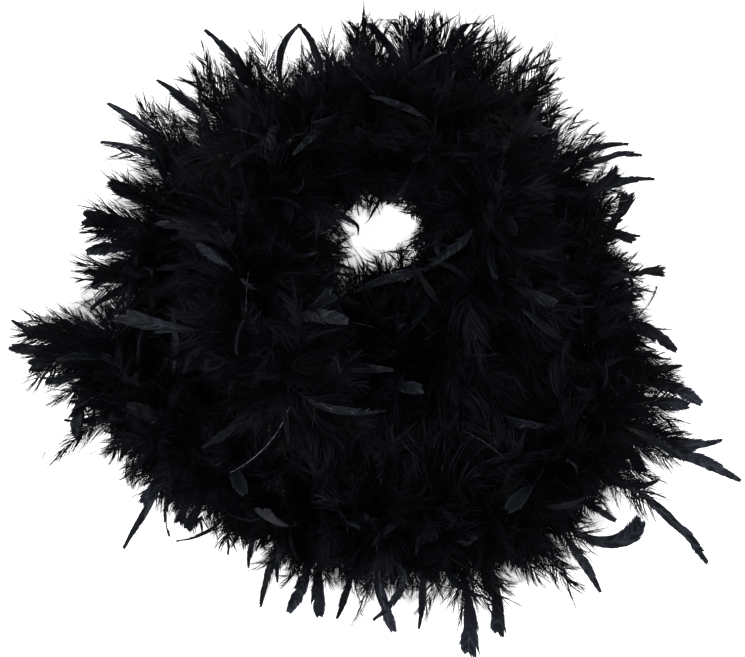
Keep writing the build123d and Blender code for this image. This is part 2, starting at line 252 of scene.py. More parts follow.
def lay_point(angle):
    """The twine's centreline at lay angles in degrees, in millimetres."""
    angle = np.asarray(angle, float)
    inward = ease(angle, INWARD_FROM, INWARD_TO)
    centre_x = OUTER_CENTRE[0] + (INNER_CENTRE[0] - OUTER_CENTRE[0]) * inward
    centre_y = OUTER_CENTRE[1] + (INNER_CENTRE[1] - OUTER_CENTRE[1]) * inward
    radius = OUTER_RADIUS + (INNER_RADIUS - OUTER_RADIUS) * inward
    radius = radius + END_FLARE * np.maximum(0, 1 - (angle - START_ANGLE) / END_FLARE_SPREAD) ** 2
    radius = radius + BULGE * np.exp(-(((angle - BULGE_ANGLE) / BULGE_SPREAD) ** 2))
    radius = radius + VALLEY_SHIFT * ease(angle, VALLEY_FROM, VALLEY_TO)
    height = CORE_HEIGHT + CLIMB * ease(angle, CLIMB_FROM, CLIMB_TO)
    height = height - VALLEY_DROP * ease(angle, DROP_FROM, DROP_TO)
    turn = np.radians(angle)
    x = centre_x + radius * np.cos(turn)
    y = centre_y + radius * np.sin(turn)
    return np.stack([x, y, height], axis=-1)


def march():
    """Lay angles and the distance along the twine at each, from the outer end."""
    angles = START_ANGLE + MARCH_STEP * np.arange(4000)
    steps = np.linalg.norm(np.diff(lay_point(angles), axis=0), axis=1)
    distances = np.concatenate([[0.0], np.cumsum(steps)])
    used = distances < BOA_LENGTH + MARCH_MARGIN
    return distances[used], angles[used]


MARCHED = march()


def route(distance):
    """Points of the twine at distances along it, in millimetres."""
    distance = np.asarray(distance, float)
    angle = np.interp(distance, *MARCHED)
    start_slope = (MARCHED[1][1] - MARCHED[1][0]) / MARCHED[0][1]
    angle = np.where(distance < 0, START_ANGLE + distance * start_slope, angle)
    return lay_point(angle)


def unit(v):
    return v / np.linalg.norm(v, axis=-1, keepdims=True)


def route_frame(distance):
    """The twine's points, the way along it, the way out of the coil, and up."""
    distance = np.asarray(distance, float)
    along = unit(route(distance + 1) - route(distance - 1))
    outward = unit(np.cross(along, (0.0, 0.0, 1.0)))
    return route(distance), along, outward, np.cross(outward, along)


def body_of(segment):
    if segment < TAIL_SEGMENTS:
        return f"tail_{TAIL_SEGMENTS - segment}"
    if segment >= SEGMENTS - HEAD_SEGMENTS:
        return f"head_{segment - (SEGMENTS - HEAD_SEGMENTS) + 1}"
    return "coil"


# The camera

CAMERA_ELEVATION = math.radians(76.0)
CAMERA_DISTANCE = 1.45
CAMERA_TARGET = Vector((0.001, -0.004, 0.06))
FRAME_WIDTH = 0.600
SENSOR_WIDTH = 36.0


def make_camera():
    data = bpy.data.cameras.new("camera")
    data.sensor_width = SENSOR_WIDTH
    data.lens = SENSOR_WIDTH * CAMERA_DISTANCE / FRAME_WIDTH
    camera = bpy.data.objects.new("camera", data)
    away = Vector((0.0, -math.cos(CAMERA_ELEVATION), math.sin(CAMERA_ELEVATION)))
    camera.location = CAMERA_TARGET + away * CAMERA_DISTANCE
    camera.rotation_euler = (-away).to_track_quat("-Z", "Y").to_euler()
    bpy.context.scene.collection.objects.link(camera)
    bpy.context.scene.camera = camera


make_camera()


# Materials


class Nodes:
    """A short way to build one material's node tree."""

    def __init__(self, name):
        self.material = bpy.data.materials.new(name)
        self.material.use_nodes = True
        self.tree = self.material.node_tree
        self.tree.nodes.clear()

    def add(self, kind, values=None, **settings):
        node = self.tree.nodes.new("ShaderNode" + kind)
        for key, value in settings.items():
            setattr(node, key, value)
        for key, value in (values or {}).items():
            if isinstance(value, bpy.types.NodeSocket):
                self.tree.links.new(value, node.inputs[key])
            else:
                node.inputs[key].default_value = value
        return node

    def math(self, operation, a, b=0.0):
        return self.add("Math", {0: a, 1: b}, operation=operation).outputs[0]

    def ramp(self, value, stops):
        node = self.add("ValToRGB", {0: value})
        elements = node.color_ramp.elements
        while len(elements) < len(stops):
            elements.new(0.5)
        for element, (place, colour) in zip(elements, stops):
            element.position = place
            element.color = (*colour, 1.0)
        return node.outputs["Color"]

    def mix(self, share, a, b, blend="MIX"):
        node = self.add("Mix", data_type="RGBA", blend_type=blend)
        for socket, value in ((node.inputs[0], share), (node.inputs[6], a), (node.inputs[7], b)):
            if isinstance(value, bpy.types.NodeSocket):
                self.tree.links.new(value, socket)
            else:
                socket.default_value = value if isinstance(value, float) else (*value, 1.0)
        return node.outputs[2]

    def noise(self, scale, detail=2.0, vector=None):
        values = {"Scale": scale, "Detail": detail}
        if vector is not None:
            values["Vector"] = vector
        return self.add("TexNoise", values).outputs["Fac"]

    def finish(self, shader):
        self.add("OutputMaterial", {"Surface": shader})
        return self.material


def feather_values(nodes):
    """The values that every feather carries: place along its shaft, tone, and nearness to an edge."""
    attribute = nodes.add("Attribute", attribute_name="feather")
    parts = nodes.add("SeparateColor", {0: attribute.outputs["Color"]})
    return parts.outputs[0], parts.outputs[1], parts.outputs[2]


def down_material():
    """Dyed down: near black, faintly violet, in lighter violet patches that are partly random tone and
    partly painted sheen, and a little paler where the barbs thin out, painted as light showing through
    them.
    """
    n = Nodes("black_down")
    _, tone, edge = feather_values(n)
    position = n.add("TexCoord").outputs["Object"]
    # Patches by position: random tone, and painted sheen where they are lighter; they also set the
    # roughness.
    tone_and_sheen_patch = n.add("MapRange", {0: n.noise(24.0, 2.0, position), 1: 0.36, 2: 0.64}).outputs[0]
    shade = n.math("ADD", n.math("MULTIPLY", tone, 0.62), n.math("MULTIPLY", tone_and_sheen_patch, 0.38))
    base = n.ramp(
        shade,
        [
            (0.20, (0.0003, 0.0003, 0.0005)),
            (0.48, (0.0012, 0.0011, 0.0018)),
            (0.82, (0.0084, 0.0078, 0.0128)),
        ],
    )
    # Painted light: where the barbs thin out they are painted paler, as if light showed through them.
    painted_backlight_tips = n.math("MULTIPLY", edge, edge)
    colour = n.mix(n.math("MULTIPLY", painted_backlight_tips, 0.30), base, (0.0100, 0.0110, 0.0160))
    roughness = n.add("MapRange", {0: tone_and_sheen_patch, 3: 0.55, 4: 0.80}).outputs[0]
    bsdf = n.add("BsdfPrincipled", {"Base Color": colour, "Roughness": roughness})
    bsdf.inputs["Specular IOR Level"].default_value = 0.045
    bsdf.inputs["Sheen Weight"].default_value = 0.007
    bsdf.inputs["Sheen Roughness"].default_value = 0.45
    bsdf.inputs["Sheen Tint"].default_value = (0.62, 0.58, 0.86, 1.0)
    through = n.add("BsdfTranslucent", {"Color": n.mix(0.5, colour, (0.009, 0.0105, 0.0145))})
    shader = n.add("MixShader", {0: 0.18, 1: bsdf.outputs[0], 2: through.outputs[0]})
    return n.finish(shader.outputs[0])


def vane_material():
    """A flat's vane: barbs in fine slanting lines, satin, blue-black, painted paler at the edges as
    light showing through the thin margins.
    """
    n = Nodes("black_vane")
    _, tone, edge = feather_values(n)
    vane = n.add("UVMap", uv_map="vane").outputs[0]
    split = n.add("SeparateXYZ", {0: vane})
    slant = n.math("SUBTRACT", split.outputs[0], n.math("MULTIPLY", split.outputs[1], 1.4))
    line = n.math("SINE", n.math("MULTIPLY", slant, 5200.0))
    ridge = n.math("ADD", n.math("MULTIPLY", line, 0.5), 0.5)
    mottle = n.noise(90.0, 3.0, vane)
    shade = n.math("ADD", n.math("MULTIPLY", tone, 0.62), n.math("MULTIPLY", mottle, 0.38))
    base = n.ramp(
        shade,
        [
            (0.24, (0.0006, 0.0007, 0.0011)),
            (0.50, (0.0014, 0.0018, 0.0028)),
            (0.66, (0.0055, 0.0070, 0.0106)),
            (0.86, (0.0300, 0.0335, 0.0470)),
        ],
    )
    lined = n.mix(n.math("MULTIPLY", ridge, 0.16), base, (0.0105, 0.0140, 0.0200))
    # Painted light: the margins are painted paler and bluer, as if light showed through them.
    rim = n.math("MULTIPLY", n.math("POWER", edge, 3.0), 0.5)
    colour = n.mix(rim, lined, (0.0200, 0.0270, 0.0370))
    roughness = n.add("MapRange", {0: mottle, 3: 0.36, 4: 0.55}).outputs[0]
    bump = n.add("Bump", {"Strength": 0.35, "Distance": 0.0002, "Height": ridge})
    bsdf = n.add(
        "BsdfPrincipled",
        {"Base Color": colour, "Roughness": roughness, "Normal": bump.outputs[0]},
    )
    bsdf.inputs["Specular IOR Level"].default_value = 0.07
    bsdf.inputs["Sheen Weight"].default_value = 0.01
    bsdf.inputs["Sheen Tint"].default_value = (0.62, 0.72, 0.95, 1.0)
    through = n.add("BsdfTranslucent", {"Color": n.mix(0.7, colour, (0.034, 0.044, 0.058))})
    shader = n.add("MixShader", {0: 0.26, 1: bsdf.outputs[0], 2: through.outputs[0]})
    return n.finish(shader.outputs[0])


def shaft_material():
    """Quills and shafts: smooth and horny, with pale streaks painted into their colour as highlights,
    where they would catch the light.
    """
    n = Nodes("quill_horn")
    _, tone, _ = feather_values(n)
    streak = n.noise(260.0, 2.0, n.add("TexCoord").outputs["Object"])
    # Painted highlight: pale streaks in the base colour, strongest on quills of high tone.
    painted_glint = n.math("MULTIPLY", n.math("POWER", tone, 4.0), streak)
    colour = n.ramp(
        painted_glint,
        [(0.0, (0.002, 0.002, 0.003)), (0.25, (0.010, 0.010, 0.014)), (0.62, (0.20, 0.19, 0.25))],
    )
    roughness = n.add("MapRange", {0: streak, 3: 0.16, 4: 0.34}).outputs[0]
    bsdf = n.add("BsdfPrincipled", {"Base Color": colour, "Roughness": roughness})
    bsdf.inputs["Specular IOR Level"].default_value = 0.35
    return n.finish(bsdf.outputs[0])


def twine_material(name, dark, light, scale):
    """Spun fibre: dull, finely mottled and a little rough. The plies are in the mesh."""
    n = Nodes(name)
    position = n.add("TexCoord").outputs["Object"]
    fibre = n.noise(scale, 4.0, position)
    colour = n.ramp(fibre, [(0.3, dark), (0.7, light)])
    bump = n.add("Bump", {"Strength": 0.5, "Distance": 0.0002, "Height": fibre})
    roughness = n.add("MapRange", {0: fibre, 3: 0.7, 4: 0.9}).outputs[0]
    bsdf = n.add(
        "BsdfPrincipled",
        {"Base Color": colour, "Roughness": roughness, "Normal": bump.outputs[0]},
    )
    return n.finish(bsdf.outputs[0])


def floor_material():
    n = Nodes("pale_floor")
    position = n.add("TexCoord").outputs["Object"]
    grain = n.noise(3.0, 2.0, position)
    colour = n.ramp(grain, [(0.3, (0.90, 0.90, 0.91)), (0.7, (0.93, 0.93, 0.94))])
    # The surface glows evenly far out. Where the boa covers it the glow is cut down, as painted shade
    # under the boa, and a disc under the middle opening glows more strongly again, as painted light in
    # place of the opening's shadow.
    away = n.add("VectorMath", {0: position}, operation="LENGTH").outputs["Value"]
    outer = n.add("MapRange", {0: away, 1: 0.19, 2: 0.27, 3: PAINTED_SHADE_GLOW, 4: FLOOR_GLOW}).outputs[0]
    # Painted light: a disc of stronger glow under the middle opening, where its shadow would fall.
    middle = (OPENING_FOOT[0] * MM, OPENING_FOOT[1] * MM, 0.0)
    inward = n.add("VectorMath", {0: position, 1: middle}, operation="DISTANCE").outputs["Value"]
    inner = n.add("MapRange", {0: inward, 1: 0.03, 2: 0.06, 3: PAINTED_OPENING_GLOW, 4: 0.0}).outputs[0]
    glow = n.math("MAXIMUM", outer, inner)
    bsdf = n.add("BsdfPrincipled", {"Base Color": colour, "Roughness": 0.9, "Emission Strength": glow})
    bsdf.inputs["Emission Color"].default_value = (1.0, 1.0, 1.0, 1.0)
    return n.finish(bsdf.outputs[0])


FLOOR_GLOW = 0.72
# Painted shade: the floor's glow is kept low under the boa.
PAINTED_SHADE_GLOW = 0.12
# Painted light: the floor's glow under the middle opening.
PAINTED_OPENING_GLOW = 0.95
DOWN = down_material()
VANE = vane_material()
SHAFT = shaft_material()
TWINE = twine_material("black_twine", (0.004, 0.004, 0.005), (0.022, 0.021, 0.026), 1600.0)
THREAD = twine_material("black_thread", (0.006, 0.006, 0.008), (0.034, 0.033, 0.040), 2600.0)


# Mesh building


class Gathered:
    """Vertices, triangles and shading values gathered for one piece."""

    def __init__(self):
        self.co, self.tri, self.value, self.uv, self.slot = [], [], [], [], []
        self.count = 0

    def add(self, co, tri, value, uv, slot):
        self.co.append(co)
        self.tri.append(tri + self.count)
        self.value.append(value)
        self.uv.append(uv)
        self.slot.append(slot)
        self.count += len(co)

    def piece(self, name, materials):
        """One object from what was gathered, in metres."""
        co = np.concatenate(self.co) * MM
        tri = np.concatenate(self.tri)
        value = np.concatenate(self.value)
        uv = np.concatenate(self.uv) * MM
        slot = np.concatenate(self.slot)
        mesh = bpy.data.meshes.new(name)
        mesh.vertices.add(len(co))
        mesh.vertices.foreach_set("co", co.astype(np.float32).ravel())
        mesh.loops.add(tri.size)
        mesh.loops.foreach_set("vertex_index", tri.astype(np.int32).ravel())
        mesh.polygons.add(len(tri))
        mesh.polygons.foreach_set("loop_start", np.arange(0, tri.size, 3, dtype=np.int32))
        mesh.polygons.foreach_set("material_index", slot.astype(np.int32))
        mesh.polygons.foreach_set("use_smooth", np.ones(len(tri), bool))
        layer = mesh.uv_layers.new(name="vane")
        layer.data.foreach_set("uv", uv[tri.ravel()].astype(np.float32).ravel())
        colours = mesh.color_attributes.new("feather", "FLOAT_COLOR", "POINT")
        rgba = np.concatenate([value, np.ones((len(co), 1))], axis=1)
        colours.data.foreach_set("color", rgba.astype(np.float32).ravel())
        mesh.update()
        mesh.validate()
        for material in materials:
            mesh.materials.append(material)
        piece = bpy.data.objects.new(name, mesh)
        bpy.context.scene.collection.objects.link(piece)
        return piece


def ribbons(points, width_way, half_width):
    """Tapering ribbons along rows of points, each ending in one point: vertices and triangles."""
    count, sections = points.shape[:2]
    left = points[:, :-1] - width_way[:, :-1] * half_width[:, :-1, None]
    right = points[:, :-1] + width_way[:, :-1] * half_width[:, :-1, None]
    pairs = np.stack([left, right], axis=2).reshape(count, -1, 3)
    co = np.concatenate([pairs, points[:, -1:]], axis=1)
    pattern = []
    for k in range(sections - 2):
        pattern += [(2 * k, 2 * k + 1, 2 * k + 3), (2 * k, 2 * k + 3, 2 * k + 2)]
    last = 2 * (sections - 2)
    pattern.append((last, last + 1, last + 2))
    per = co.shape[1]
    tri = np.array(pattern)[None] + (np.arange(count) * per)[:, None, None]
    return co.reshape(-1, 3), tri.reshape(-1, 3)


def tube(points, radii, sides):
    """A closed tube along points, with a vertex at each end: vertices and triangles."""
    points = np.asarray(points, float)
    tangent = unit(np.gradient(points, axis=0))
    helper = np.where(abs(tangent[:, 2:3]) > 0.9, (1.0, 0.0, 0.0), (0.0, 0.0, 1.0))
    first = unit(np.cross(tangent, helper))
    second = np.cross(tangent, first)
    turn = 2 * np.pi * np.arange(sides) / sides
    ring = first[:, None] * np.cos(turn)[None, :, None] + second[:, None] * np.sin(turn)[None, :, None]
    rings = points[:, None] + ring * np.asarray(radii, float)[:, None, None]
    co = np.concatenate([rings.reshape(-1, 3), points[:1], points[-1:]])
    tri = []
    last = (len(points) - 1) * sides
    for i in range(len(points) - 1):
        for j in range(sides):
            a, b = i * sides + j, i * sides + (j + 1) % sides
            tri += [(a, b, b + sides), (a, b + sides, a + sides)]
    for j in range(sides):
        tri.append((len(co) - 2, (j + 1) % sides, j))
        tri.append((len(co) - 1, last + j, last + (j + 1) % sides))
    return co, np.array(tri)


# Feather templates, in millimetres: X along the shaft, Y across the vane, Z out of it


class Template:
    """One feather before it is bent and placed, with the length of its shaft."""

    def __init__(self, length):
        self.length = length
        self.parts = []

    def add(self, part, slot):
        self.parts.append((*part, slot))

    def joined(self):
        offsets = np.cumsum([0] + [len(p[0]) for p in self.parts[:-1]])
        self.co = np.concatenate([p[0] for p in self.parts])
        self.tri = np.concatenate([p[1] + o for p, o in zip(self.parts, offsets)])
        self.edge = np.concatenate([p[2] for p in self.parts])
        self.shade = np.concatenate([p[3] for p in self.parts])
        self.slot = np.concatenate([np.full(len(p[1]), p[4]) for p in self.parts])
        return self


def barb_part(rng, points, width_way, half_width, spread):
    """Barbs as tapering ribbons, each a little darker or lighter than the next."""
    count, sections = points.shape[:2]
    co, tri = ribbons(points, width_way, half_width)
    steps = np.linspace(0, 1, sections)
    edge = np.repeat(np.repeat(steps[None], count, axis=0)[:, :-1], 2, axis=1)
    edge = np.concatenate([edge, np.ones((count, 1))], axis=1).ravel()
    shade = np.repeat(rng.normal(0, spread, count), 2 * sections - 1)
    return co, tri, edge, shade


def loose_barbs(rng, roots, lengths, angle, curl, flatness, half_width, tuft=5, sections=5):
    """Soft barbs that leave the shaft, sweep forward and gather into pointed tufts."""
    count = len(roots)
    side = np.where(rng.random(count) < 0.5, -1.0, 1.0)
    order = np.lexsort((roots, side))
    roots, lengths, side = roots[order], lengths[order], side[order]
    angle = (angle * np.ones(count))[order]
    steps = np.linspace(0, 1, sections)
    groups = np.arange(count) // tuft
    per_group = rng.normal(0, 1, (4, groups.max() + 1))[:, groups]
    tilt = per_group[0] * flatness + rng.normal(0, 0.4 * flatness, count)
    start = np.radians(angle) + 0.13 * per_group[1] + rng.normal(0, 0.06, count)
    curl = curl * (1 + 0.45 * per_group[2])
    phase = 2 * np.pi * rng.random(count)
    points = np.zeros((count, sections, 3))
    points[:, 0, 0] = roots
    for k in range(1, sections):
        middle = (steps[k] + steps[k - 1]) / 2
        way = start - curl * middle + 0.10 * np.sin(phase + 5.0 * middle)
        lean = tilt * (0.4 + 0.6 * middle) + 0.12 * np.cos(phase * 1.7 + 4.0 * middle)
        step = (lengths * (steps[k] - steps[k - 1]))[:, None]
        direction = np.stack(
            [np.cos(way), side * np.sin(way) * np.cos(lean), np.sin(way) * np.sin(lean)], axis=1
        )
        points[:, k] = points[:, k - 1] + direction * step
    for first in range(0, count, tuft):
        group = slice(first, first + tuft)
        pull = (0.35 + 0.5 * rng.random()) * steps[None, :, None] ** 1.7
        points[group] += (points[group].mean(axis=0, keepdims=True) - points[group]) * pull
    along = unit(np.gradient(points, axis=1))
    face = unit(np.array([0.0, 0.0, 1.0]) + rng.normal(0, 0.35, (count, 1, 3)))
    width_way = unit(np.cross(along, face))
    taper = (1 - steps[None] ** 1.5) * half_width * (0.7 + 0.6 * rng.random((count, 1)))
    return barb_part(rng, points, width_way, np.maximum(taper, 0.02), 0.22)


def shaft_part(length, radius, sections=9, sides=3):
    places = np.linspace(0, 1, sections)
    points = np.stack([places * length, 0 * places, 0 * places], axis=1)
    co, tri = tube(points, radius * (1 - 0.86 * places), sides)
    return co, tri, np.zeros(len(co)), np.zeros(len(co))


def plume_template(rng, length, barb, count, flatness, angle, half_width=0.28, sections=5):
    """A down plume: a soft shaft with long silky barbs all the way along."""
    template = Template(length)
    share = 0.06 + 0.94 * rng.random(count) ** 0.9
    reach = barb * (1.12 - 0.5 * share) * (0.75 + 0.5 * rng.random(count))
    angles = angle * (1.15 - 0.5 * share)
    barbs = loose_barbs(
        rng, share * length, reach, angles, 0.5, flatness, half_width, sections=sections
    )
    template.add(barbs, 0)
    template.add(shaft_part(length, 0.32, 6), 1)
    return template.joined()


def vane_part(rng, side, length, start, half_width, forward, opening, bluntness, cup):
    """One side of a vane as close-set barbs, parted here and there, with a ragged margin."""
    spacing = 1.1
    steps = np.linspace(0, 1, 5)
    roots = np.arange(start, length * 0.985, spacing)
    roots = roots + rng.normal(0, 0.12, len(roots))
    count = len(roots)
    share = np.clip((roots - start) / (length - start), 0, 1)
    outline = np.clip(share * opening, 0, 1) ** 0.8 * np.clip(1 - share**bluntness, 0, 1) ** 0.75
    width = half_width * outline * (0.88 + 0.24 * rng.random(count)) + 0.5
    clump = np.cumsum(rng.random(count) < 0.13)
    per_clump = rng.normal(0, 1, (3, clump.max() + 1))[:, clump]
    width = width * (1 - 0.12 * np.abs(per_clump[2]))
    sweep = width * forward * (1 + 0.22 * per_clump[0])
    points = np.zeros((count, 5, 3))
    points[:, :, 0] = roots[:, None] + sweep[:, None] * steps[None] ** 1.25
    limit = length + 1.0 + np.abs(rng.normal(0, 2.2, (count, 1)))
    points[:, :, 0] = np.minimum(points[:, :, 0], limit)
    across = width[:, None] * (1 - (1 - steps[None]) ** 1.3)
    points[:, :, 1] = side * across
    points[:, :, 2] = -cup * across**2 / half_width + 1.2 * per_clump[1][:, None] * steps[None] ** 2
    along = unit(np.gradient(points, axis=1) + 1e-9)
    width_way = unit(np.cross(along, np.array([0.0, 0.0, 1.0])))
    taper = np.array([0.74, 0.78, 0.66, 0.40, 0.02])[None] * spacing * np.ones((count, 1))
    return barb_part(rng, points, width_way, taper, 0.26)


def flat_template(rng, length, half_width, forward, asymmetry, opening, bluntness, cup):
    """A flat: a horny shaft, a close vane on its outer part and loose down below it."""
    template = Template(length)
    start = length * (0.38 + 0.10 * rng.random())
    outline = (forward, opening, bluntness, cup)
    template.add(vane_part(rng, 1, length, start, half_width, *outline), 0)
    template.add(vane_part(rng, -1, length, start, half_width * asymmetry, *outline), 0)
    count = 66
    roots = length * 0.06 + (start * 1.2 - length * 0.06) * rng.random(count)
    reach = 24.0 * (0.7 + 0.5 * rng.random(count))
    template.add(loose_barbs(rng, roots, reach, 46.0, 0.5, 0.4, 0.30), 2)
    template.add(shaft_part(length * 0.98, 0.62), 1)
    return template.joined()


def quill_template(rng, length):
    """A bare quill with a few short barbs left on it."""
    template = Template(length)
    count = 14
    roots = length * (0.25 + 0.75 * rng.random(count))
    reach = 6.0 + 5.0 * rng.random(count)
    template.add(loose_barbs(rng, roots, reach, 26.0, 0.2, 0.3, 0.22, 3, 4), 2)
    template.add(shaft_part(length, 0.50, 10), 1)
    return template.joined()


# Brushes and fluffs are the down that shows, inners and lows the down that fills it underneath.
# Sickles are narrow pointed flats, and broads are wide blunt ones.
template_rng = np.random.default_rng(SEED)
BRUSHES = [
    plume_template(template_rng, length, barb, 136, 0.30, 42.0, 0.25)
    for length, barb in ((58, 26), (64, 29), (54, 25), (66, 27), (60, 31), (56, 28), (68, 30), (62, 24))
]
FLUFFS = [
    plume_template(template_rng, length, barb, 96, 0.95, 56.0)
    for length, barb in ((50, 27), (54, 30), (46, 26), (52, 28), (48, 24), (56, 29))
]
INNERS = [
    plume_template(template_rng, length, barb, 78, 1.1, 66.0, 0.36, 4)
    for length, barb in ((30, 22), (34, 24), (28, 20), (36, 22))
]
LOWS = [
    plume_template(template_rng, length, barb, 80, 0.5, 60.0, 0.52, 4)
    for length, barb in ((44, 27), (50, 29), (40, 26))
]
SICKLES = [
    flat_template(template_rng, length, width, 2.2, 0.7, 3.4, bluntness, 0.30)
    for length, width, bluntness in (
        (90, 4.6, 1.15), (98, 5.2, 1.3), (84, 4.0, 1.0), (94, 5.0, 1.6), (88, 3.6, 1.2)
    )
]
BROADS = [
    flat_template(template_rng, length, width, 1.7, 0.85, opening, bluntness, 0.22)
    for length, width, opening, bluntness in (
        (82, 6.6, 1.5, 5.0), (88, 7.8, 1.25, 8.0), (78, 6.0, 2.2, 2.6), (86, 8.4, 1.4, 9.0),
        (84, 7.0, 1.8, 3.4),
    )
]
QUILLS = [quill_template(template_rng, length) for length in (78, 86, 70)]


# Placing feathers


def bent(co, curl, sweep, length, twist):
    """A template's points after it curls out of its vane, sweeps sideways and twists.

    The bend grows along the shaft, as in a real feather.
    """
    share = np.clip(co[:, 0] / length, 0, 1.2)
    turn = twist * share
    y = co[:, 1] * np.cos(turn) - co[:, 2] * np.sin(turn)
    z = co[:, 1] * np.sin(turn) + co[:, 2] * np.cos(turn)
    grid = np.linspace(0, 1.2, 49)
    growth = ((grid[1:] + grid[:-1]) / 2) ** BEND_GROWTH
    side, rise = sweep * growth, curl * growth
    moves = np.stack([np.cos(rise) * np.cos(side), np.cos(rise) * np.sin(side), np.sin(rise)], axis=1)
    line = np.concatenate([np.zeros((1, 3)), np.cumsum(moves, axis=0)]) * length * grid[1]
    out = np.stack([np.interp(share, grid, line[:, i]) for i in range(3)], axis=1)
    out[:, 0] += np.minimum(co[:, 0], 0)
    side, rise = sweep * share**BEND_GROWTH, curl * share**BEND_GROWTH
    across = np.stack([-np.sin(side), np.cos(side), np.zeros(len(co))], axis=1)
    normal = np.stack([-np.sin(rise) * np.cos(side), -np.sin(rise) * np.sin(side), np.cos(rise)], axis=1)
    return out + y[:, None] * across + z[:, None] * normal


FLOOR_PRESS = 4.0
FLOOR_REST = 0.3
BOX_MARGIN = 8.0
BOX_LOW = np.array(cad_low) / MM - BOX_MARGIN
BOX_HIGH = np.array(cad_high) / MM + BOX_MARGIN
BOX_LOW[2] = 0.0


def pressed(co):
    """Presses flat what would reach below the surface, and holds the rest near the CAD box."""
    z = co[:, 2]
    low = z < FLOOR_PRESS
    squash = np.exp((z - FLOOR_PRESS) / (FLOOR_PRESS * 2))
    z = np.where(low, FLOOR_REST + (FLOOR_PRESS - FLOOR_REST) * squash, z)
    out = np.stack([co[:, 0], co[:, 1], z], axis=1)
    return np.clip(out, BOX_LOW, BOX_HIGH)


def parted(co, looseness):
    """Bends what would close the opening in the middle back to its uneven rim."""
    centre = np.array(OPENING_FOOT) + co[:, 2:] * np.array(OPENING_LEAN)
    offset = co[:, :2] - centre
    turn = np.arctan2(offset[:, 1], offset[:, 0])[:, None]
    rim = (1 + 0.30 * np.cos(2 * turn - 1.5) + 0.10 * np.cos(3 * turn + 0.6)) * looseness
    radii = np.array(OPENING_RADII) * rim
    reach = np.maximum(np.linalg.norm(offset / radii, axis=1, keepdims=True), 1e-6)
    inside = reach / OPENING_REACH
    wanted = np.where(inside < 1, 1 + (OPENING_REACH - 1) * inside**2.2, reach)
    out = co.copy()
    out[:, :2] = centre + offset / reach * wanted
    return out


def place(gathered, template, station, direction, face, scale, curl, sweep, twist, tone, mirror):
    """Bends one template and stands it on the twine at a station, facing one way."""
    origin = route(station)
    direction = unit(direction)
    normal = face - direction * np.dot(face, direction)
    normal = unit(normal)
    across = np.cross(normal, direction) * mirror
    co = bent(template.co, curl, sweep, template.length, twist) * scale
    world = origin + co[:, :1] * direction + co[:, 1:2] * across + co[:, 2:] * normal
    world = pressed(parted(world, 0.84 + 0.22 * (station * 7.31 % 1.0)))
    along = template.co[:, 0] / template.length
    value = np.stack([along, np.clip(tone + template.shade, 0, 1), template.edge], axis=1)
    uv = template.co[:, :2] + np.array([0.0, 40.0 * tone])
    tri = template.tri if mirror > 0 else template.tri[:, ::-1]
    gathered.add(world, tri, value, uv, template.slot)


STEEPEST_DROP = -0.28


def feather_way(station, roll, lean):
    """The direction of a feather that leaves the twine at a roll round it and a lean along it."""
    _, along, outward, up = route_frame(station)
    radial = outward * math.cos(roll) + up * math.sin(roll)
    way = radial * math.cos(lean) + along * math.sin(lean)
    if way[2] < STEEPEST_DROP:
        way = np.array([way[0], way[1], STEEPEST_DROP])
    return unit(way)


GOLDEN_TURN = math.radians(137.508)
SKY = np.array([0.0, 0.0, 1.0])


def tone_of(rng):
    return float(np.clip(rng.beta(2.0, 2.6), 0, 1))


def grow_plumes(gathered, segment, rng):
    for i in range(PLUMES_PER_SEGMENT):
        station = (segment + (i + rng.random()) / PLUMES_PER_SEGMENT) * SEGMENT_LENGTH
        roll = (segment * PLUMES_PER_SEGMENT + i) * GOLDEN_TURN + rng.normal(0, 0.25)
        way = feather_way(station, roll, rng.normal(0, 0.45))
        brush = rng.random() < 0.6
        kind = BRUSHES if brush else FLUFFS
        face = unit(rng.normal(0, 1, 3) + (1.2 if brush else 0.3) * SKY)
        place(
            gathered, kind[rng.integers(len(kind))], station, way, face,
            FULLNESS[segment] * (0.88 + 0.24 * rng.random()),
            rng.normal(0, 0.65), rng.normal(0, 0.45), rng.normal(0, 0.5), tone_of(rng),
            rng.choice([-1, 1]),
        )
    for i in range(INNER_PLUMES_PER_SEGMENT):
        station = (segment + (i + rng.random()) / INNER_PLUMES_PER_SEGMENT) * SEGMENT_LENGTH
        way = feather_way(station, i * GOLDEN_TURN + rng.normal(0, 0.3), rng.normal(0, 0.6))
        place(
            gathered, INNERS[rng.integers(len(INNERS))], station, way, unit(rng.normal(0, 1, 3)),
            0.9 + 0.3 * rng.random(), rng.normal(0, 0.5), 0.0, 0.0, 0.3 * tone_of(rng), 1,
        )


def grow_flats(gathered, segment, rng):
    for i in range(FLATS_PER_SEGMENT):
        station = (segment + (i + rng.random()) / FLATS_PER_SEGMENT) * SEGMENT_LENGTH
        roll = (segment * FLATS_PER_SEGMENT + i) * GOLDEN_TURN + rng.normal(0, 0.2)
        way = feather_way(station, roll, rng.normal(0, 0.45))
        kind = SICKLES if rng.random() < 0.72 else BROADS
        template = kind[rng.integers(len(kind))]
        face = unit(SKY + rng.normal(0, 0.45, 3)) if way[2] < 0.55 else unit(rng.normal(0, 1, 3))
        upright = max(0.0, way[2])
        curl = rng.choice([-1, 1]) * (0.35 + 0.85 * upright) * (0.6 + 0.8 * rng.random())
        place(
            gathered, template, station, way, face, 0.80 + 0.22 * rng.random(),
            curl, rng.normal(0, 0.8), rng.normal(0, 0.5), 0.66 * tone_of(rng), rng.choice([-1, 1]),
        )


